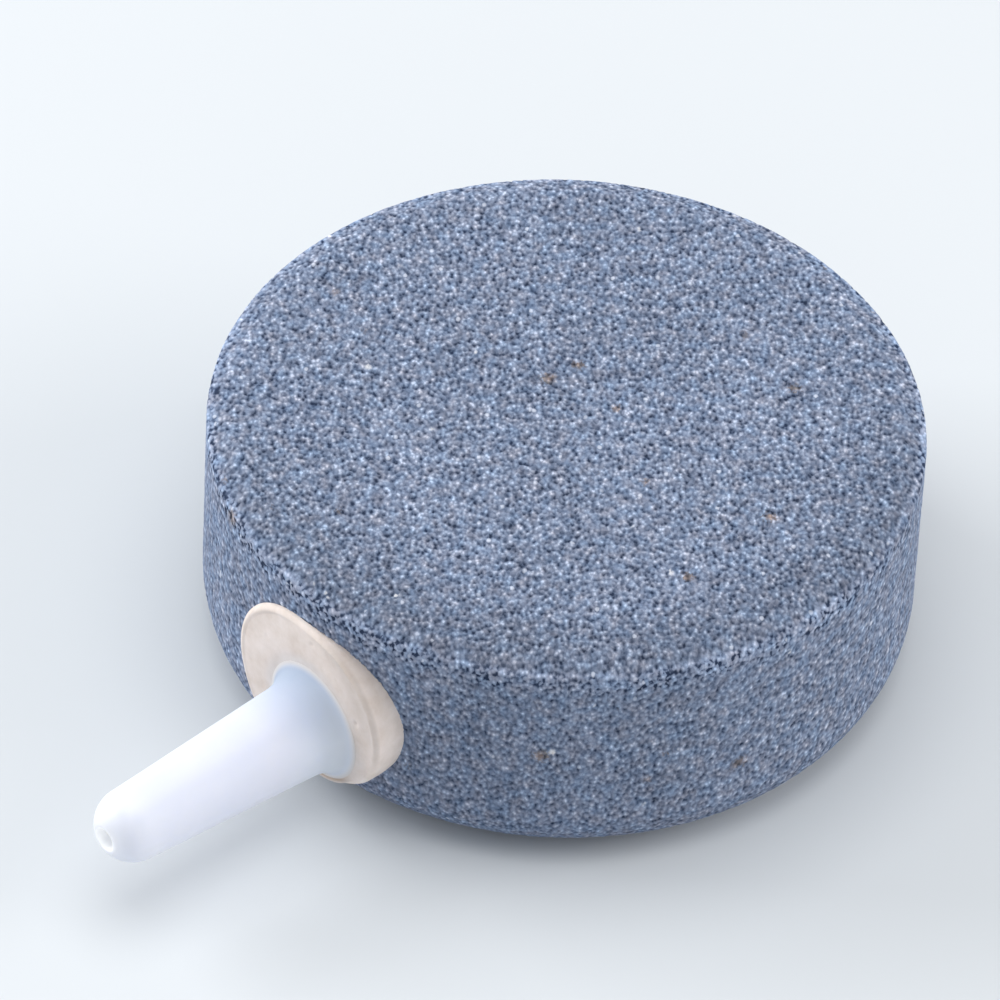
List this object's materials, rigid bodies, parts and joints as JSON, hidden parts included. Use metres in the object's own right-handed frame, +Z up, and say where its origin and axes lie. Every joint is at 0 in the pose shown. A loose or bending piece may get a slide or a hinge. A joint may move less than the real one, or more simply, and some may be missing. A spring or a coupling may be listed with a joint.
{
  "type": "air stone",
  "caption": "Round bonded-grit air stone for an aquarium or pond, with a tapered plastic hose nipple sealed into its side wall.",
  "frame": {"origin": "centre of the stone's flat base", "axes": "+Z up, along the stone's own axis; the hose nipple points along -Y"},
  "size_m": [0.04, 0.055, 0.015],
  "materials": {
    "grit_stone": "coarse, matt, porous",
    "milky_plastic": "smooth, milky, slightly translucent",
    "cream_sealant": "smooth, slightly mottled, cured resin"
  },
  "bodies": {
    "root": {"stone_body": "grit_stone", "hose_nipple": "milky_plastic", "seal_collar": "cream_sealant"}
  },
  "joints": []
}
